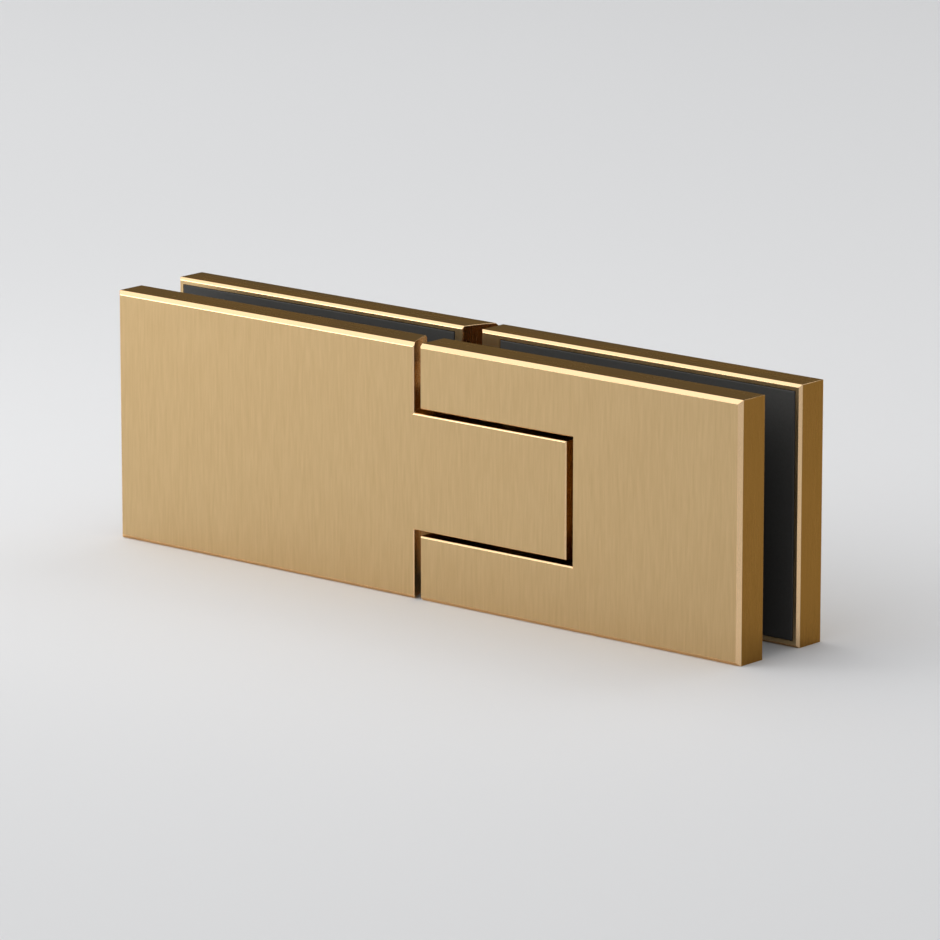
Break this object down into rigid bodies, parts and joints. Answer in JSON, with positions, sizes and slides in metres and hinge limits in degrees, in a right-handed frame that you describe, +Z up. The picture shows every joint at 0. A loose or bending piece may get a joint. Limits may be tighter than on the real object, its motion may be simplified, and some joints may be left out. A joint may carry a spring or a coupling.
{
  "type": "glass-to-glass shower hinge",
  "caption": "Flat rectangular hinge that clamps two glass panes edge to edge; a square tongue on one leaf turns in a notch of the other on a hidden pin.",
  "frame": {"origin": "middle of the seam between the leaves, in the middle plane of the glass, at mid height", "axes": "+X along the leaves from the door leaf to the fixed leaf, +Y from the front to the back, +Z up along the pivot"},
  "size_m": [0.125, 0.0202, 0.04],
  "materials": {
    "brushed_gold": "brushed satin gold, grain upright",
    "gold_screw": "satin gold plated steel",
    "gasket_rubber": "matte dark grey",
    "liner_nylon": "moulded black",
    "pin_steel": "ground stainless",
    "spring_steel": "drawn wire",
    "bush_bronze": "sintered bronze",
    "washer_acetal": "moulded off-white"
  },
  "bodies": {
    "fixed_leaf": {"fixed_front_body": "brushed_gold", "fixed_back_plate": "brushed_gold", "fixed_front_gasket": "gasket_rubber", "fixed_back_gasket": "gasket_rubber", "fixed_edge_liner": "liner_nylon", "fixed_clamp_screws": "gold_screw", "pivot_pin": "pin_steel", "pin_lock_screws": "pin_steel", "upper_thrust_washer": "washer_acetal", "lower_thrust_washer": "washer_acetal"},
    "door_leaf": {"door_front_body": "brushed_gold", "door_back_plate": "brushed_gold", "door_front_gasket": "gasket_rubber", "door_back_gasket": "gasket_rubber", "door_edge_liner": "liner_nylon", "door_clamp_screws": "gold_screw", "tongue_screw": "gold_screw", "upper_bush": "bush_bronze", "lower_bush": "bush_bronze", "centring_spring": "spring_steel", "spring_adjuster": "pin_steel"},
    "plunger": {"centring_plunger": "pin_steel"}
  },
  "joints": [
    {"name": "door_swing", "type": "hinge", "parent": "fixed_leaf", "child": "door_leaf", "pos_m": [0.01473, 0, 0], "axis": [0, 0, 1], "range_deg": [-90, 90]},
    {"name": "plunger_travel", "type": "slide", "parent": "door_leaf", "child": "plunger", "axis": [1, 0, 0], "range_m": [0, 0.0005], "stiffness_N_per_m": 20, "springref_m": 0.0005, "deforming": ["centring_spring"]}
  ]
}
